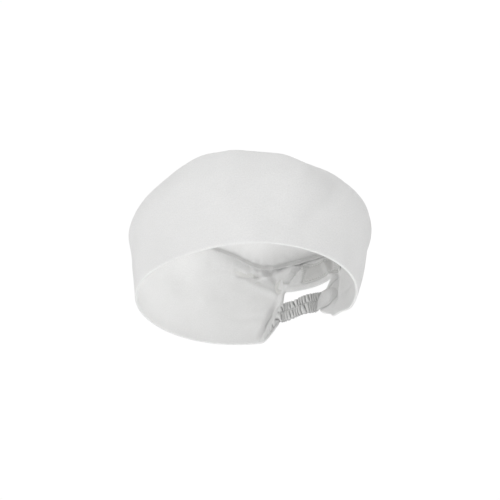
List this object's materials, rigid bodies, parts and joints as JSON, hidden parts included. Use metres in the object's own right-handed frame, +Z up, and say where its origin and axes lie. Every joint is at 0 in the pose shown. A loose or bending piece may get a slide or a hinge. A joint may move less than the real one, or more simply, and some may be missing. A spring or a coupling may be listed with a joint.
{
  "type": "cloth skull cap",
  "caption": "White cloth skull cap with a folded stiffened band, closed oval crown, back cut-out and gathered elastic strap.",
  "frame": {"origin": "under the middle of the cap's box, in the plane of the folded lower edge it rests on", "axes": "+Z up through the crown, -Y towards the forehead, +Y towards the back cut-out and strap, +X towards the wearer's left"},
  "size_m": [0.222, 0.2028, 0.1033],
  "materials": {
    "cap_cloth": "matt woven white",
    "stiffener": "matt nonwoven",
    "thread": "soft satin thread",
    "tag_tape": "ribbed grey-white tape",
    "elastic": "knitted elastic"
  },
  "bodies": {
    "cap": {"band_fabric": "cap_cloth", "band_interlining": "stiffener", "crown_panel": "cap_cloth", "crown_overlock": "thread", "crown_seam_thread": "thread", "cutout_binding": "cap_cloth", "cutout_topstitch": "thread", "tag_patch": "tag_tape", "tag_stitching": "thread", "strap_tab_left": "cap_cloth", "strap_tab_right": "cap_cloth", "tab_stitch_left": "thread", "tab_stitch_right": "thread"},
    "strap": {"strap_casing": "cap_cloth", "strap_elastic": "elastic", "strap_stitch_outer": "thread", "strap_stitch_inner": "thread"}
  },
  "joints": [
    {"name": "strap_stretch", "type": "slide", "parent": "cap", "child": "strap", "axis": [0, 1, 0], "range_m": [0, 0.02], "stiffness_N_per_m": 120, "deforming": ["strap_casing", "strap_elastic", "strap_stitch_outer", "strap_stitch_inner"]}
  ]
}
